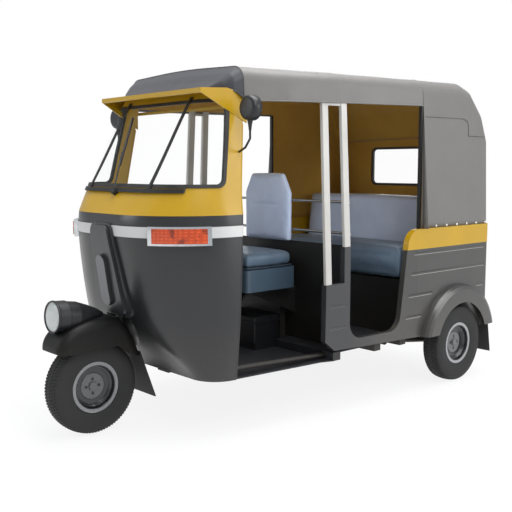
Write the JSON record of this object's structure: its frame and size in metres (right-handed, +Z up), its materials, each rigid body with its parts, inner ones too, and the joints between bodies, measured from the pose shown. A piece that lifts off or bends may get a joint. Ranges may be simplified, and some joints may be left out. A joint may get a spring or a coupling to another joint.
{
  "type": "auto rickshaw",
  "caption": "Three-wheeled passenger taxi with a rounded metal cowl, windscreen, open sides, canvas canopy, driver seat, rear bench and a steered front wheel.",
  "frame": {"origin": "centre of the footprint's bounding box, on the ground under the tyres", "axes": "+Y towards the rear, so the vehicle faces -Y; +X its left hand side; +Z up"},
  "size_m": [1.3, 2.572, 1.696],
  "materials": {
    "black_paint": "satin",
    "yellow_paint": "gloss",
    "rubber": "matt",
    "glass": "clear",
    "silver_band": "satin silver",
    "amber_lens": "ribbed translucent",
    "chrome": "polished",
    "dark_steel": "satin",
    "canvas": "coated cloth",
    "lining": "woven",
    "grey_paint": "gloss",
    "cast_metal": "rough",
    "white_paint": "gloss",
    "seat_blue_paint": "satin",
    "blue_vinyl": "vinyl, satin",
    "black_plastic": "matt",
    "red_lens": "translucent",
    "lamp_lens": "fluted",
    "rim_paint": "gloss, dark dish",
    "tyre": "matt"
  },
  "bodies": {
    "body": {"cowl_lower": "black_paint", "cowl_upper": "yellow_paint", "windscreen_rubber": "rubber", "windscreen_glass": "glass", "nose_cover": "black_paint", "cowl_band": "silver_band", "indicator_lenses": "amber_lens", "indicator_frames": "chrome", "windscreen_guard": "dark_steel", "sun_visor": "yellow_paint", "canopy_front": "canvas", "canopy_rear": "canvas", "roof_lining": "lining", "rear_window_rubber": "rubber", "rear_window_glass": "glass", "side_panels": "grey_paint", "belt_rails": "yellow_paint", "rear_panel": "grey_paint", "rear_mudguards": "black_paint", "wheel_housings": "dark_steel", "rear_mudflaps": "rubber", "chassis_frame": "dark_steel", "floor_pan": "dark_steel", "rear_bulkhead": "grey_paint", "engine_block": "cast_metal", "rear_suspension": "dark_steel", "exhaust": "cast_metal", "rear_bumper": "dark_steel", "door_poles": "white_paint", "partition_rails": "dark_steel", "partition_panel": "grey_paint", "rear_posts": "dark_steel", "sill_tubes": "white_paint", "driver_seat_base": "seat_blue_paint", "driver_cushion": "blue_vinyl", "driver_backrest": "blue_vinyl", "battery_box": "black_plastic", "rear_cushion": "blue_vinyl", "rear_backrest": "blue_vinyl", "tail_lamps": "red_lens", "number_plate": "white_paint", "mirrors": "black_plastic", "wiper": "black_plastic"},
    "hatch": {"engine_hatch": "grey_paint"},
    "steering": {"front_fork": "dark_steel", "handlebar": "dark_steel", "front_mudguard": "black_paint", "front_mudflap": "rubber", "headlamp_shell": "black_plastic", "headlamp_lens": "lamp_lens"},
    "front_wheel": {"front_rim": "rim_paint", "front_tyre": "tyre"},
    "rear_left_wheel": {"rear_left_rim": "rim_paint", "rear_left_tyre": "tyre"},
    "rear_right_wheel": {"rear_right_rim": "rim_paint", "rear_right_tyre": "tyre"}
  },
  "joints": [
    {"name": "steering_turn", "type": "hinge", "parent": "body", "child": "steering", "pos_m": [0, -0.908, 0.522], "axis": [0, 0.4067, 0.9135], "range_deg": [-40, 40]},
    {"name": "front_wheel_spin", "type": "hinge", "parent": "steering", "child": "front_wheel", "pos_m": [0, -1.07, 0.216], "axis": [1, 0, 0], "continuous": true},
    {"name": "rear_left_spin", "type": "hinge", "parent": "body", "child": "rear_left_wheel", "pos_m": [0.575, 0.93, 0.216], "axis": [1, 0, 0], "continuous": true},
    {"name": "rear_right_spin", "type": "hinge", "parent": "body", "child": "rear_right_wheel", "pos_m": [-0.575, 0.93, 0.216], "axis": [1, 0, 0], "continuous": true},
    {"name": "engine_hatch_hinge", "type": "hinge", "parent": "body", "child": "hatch", "pos_m": [0, 1.252, 0.639], "axis": [1, 0, 0], "range_deg": [0, 75]}
  ]
}
